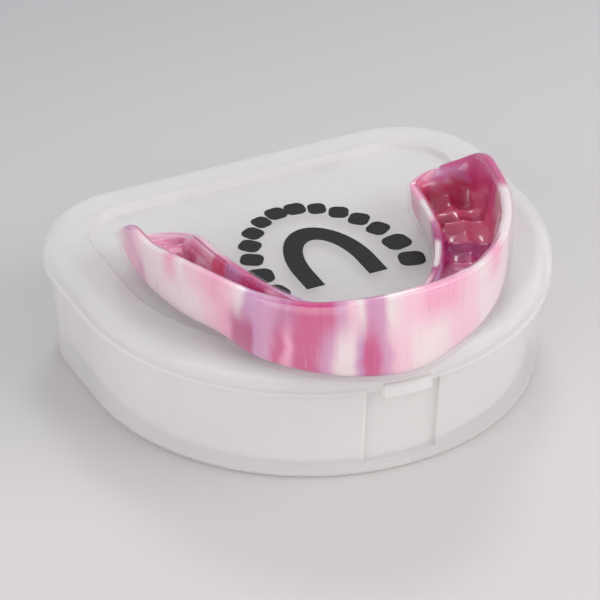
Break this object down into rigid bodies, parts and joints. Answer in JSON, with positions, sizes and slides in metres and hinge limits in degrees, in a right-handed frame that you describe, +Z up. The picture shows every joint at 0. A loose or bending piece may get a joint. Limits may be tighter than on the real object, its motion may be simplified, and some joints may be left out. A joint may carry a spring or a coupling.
{
  "type": "mouthguard with case",
  "caption": "Laminated pink marbled mouthguard lying on a D-shaped translucent plastic case with a hinged lid, a front latch tab and a sunk lid panel.",
  "frame": {"origin": "middle of the case's width and depth, on its flat underside", "axes": "+X to the right along the hinge edge, +Y from the latch to the hinge, +Z up"},
  "size_m": [0.08, 0.0787, 0.0366],
  "materials": {
    "case_plastic": "milky translucent moulded polypropylene with a satin gloss",
    "lid_plastic": "milky translucent moulded polypropylene, polished on top",
    "black_ink": "screen-printed ink, thin and slightly glossy",
    "clear_eva": "clear glossy thermoformed EVA",
    "marbled_eva": "pink, magenta and white marbled EVA, glossy"
  },
  "bodies": {
    "base": {"case_base": "case_plastic"},
    "lid": {"case_lid": "lid_plastic", "lid_print": "black_ink"},
    "mouthguard": {"guard_clear_layer": "clear_eva", "guard_colour_layer": "marbled_eva"}
  },
  "joints": [
    {"name": "lid_hinge", "type": "hinge", "parent": "base", "child": "lid", "pos_m": [0, 0.0359, 0.0144], "axis": [-1, 0, 0], "range_deg": [0, 110]},
    {"name": "guard_lift", "type": "slide", "parent": "lid", "child": "mouthguard", "axis": [0, 0, 1], "range_m": [0, 0.03]}
  ]
}
